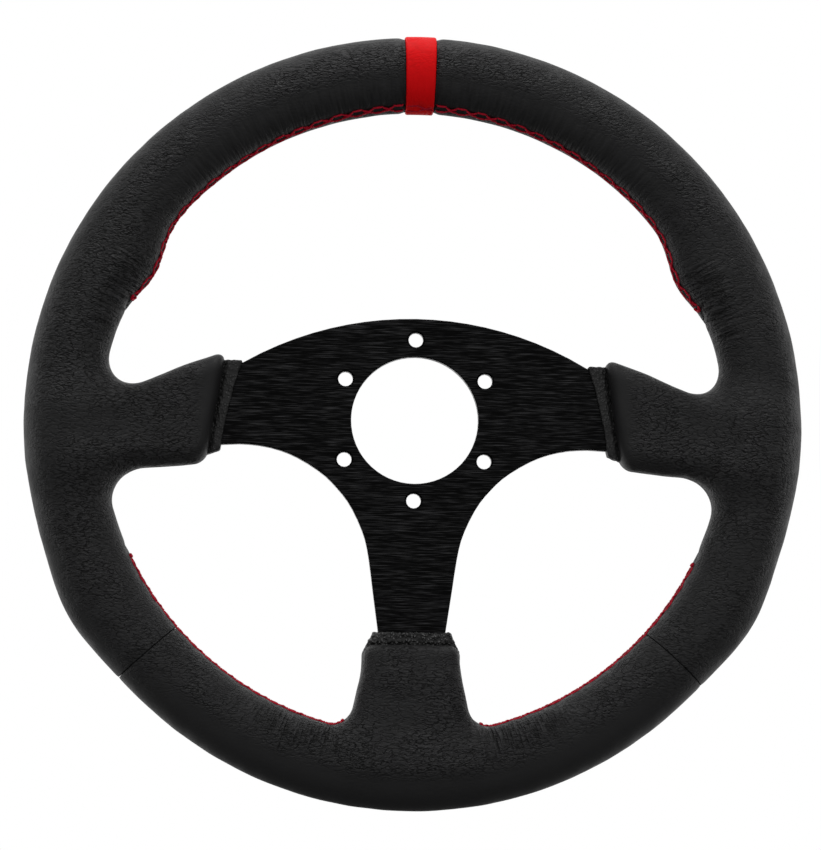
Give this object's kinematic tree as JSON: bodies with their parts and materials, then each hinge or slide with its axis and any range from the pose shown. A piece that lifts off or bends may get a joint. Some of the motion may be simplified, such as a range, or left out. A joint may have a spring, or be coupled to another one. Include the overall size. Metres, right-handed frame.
{
  "type": "steering wheel",
  "caption": "Round three-spoke motorsport steering wheel: flat black plate with bore and bolt circle, thick stitched leather rim, red top marker.",
  "frame": {"origin": "centre of the bolt circle, halfway through the spoke plate's thickness", "axes": "+Z towards the red marker at 12 o'clock, -Y towards the driver along the hub axis, +X to the driver's right"},
  "size_m": [0.337, 0.0311, 0.3369],
  "materials": {
    "anodised_aluminium": "black anodised, brushed along X",
    "steel": "bright drawn bar",
    "core_foam": "moulded polyurethane",
    "black_leather": "pebble-grained, semi-matt",
    "cuff_leather": "thin and crinkled, matt",
    "red_leather": "smooth, semi-matt",
    "red_thread": "waxed polyester thread"
  },
  "bodies": {
    "root": {"spoke_plate": "anodised_aluminium", "rim_hoop": "steel", "foam_core": "core_foam", "centre_marker": "red_leather", "hoop_lug_right": "steel", "rivet_right_1": "steel", "rivet_right_2": "steel", "cuff_right": "cuff_leather", "leather_right": "black_leather", "hoop_lug_left": "steel", "rivet_left_1": "steel", "rivet_left_2": "steel", "cuff_left": "cuff_leather", "leather_left": "black_leather", "hoop_lug_bottom": "steel", "rivet_bottom_1": "steel", "rivet_bottom_2": "steel", "cuff_bottom": "cuff_leather", "leather_bottom": "black_leather", "stitching_right": "red_thread", "stitching_left": "red_thread", "stitching_bottom": "red_thread", "stitching_marker": "red_thread"}
  },
  "joints": []
}
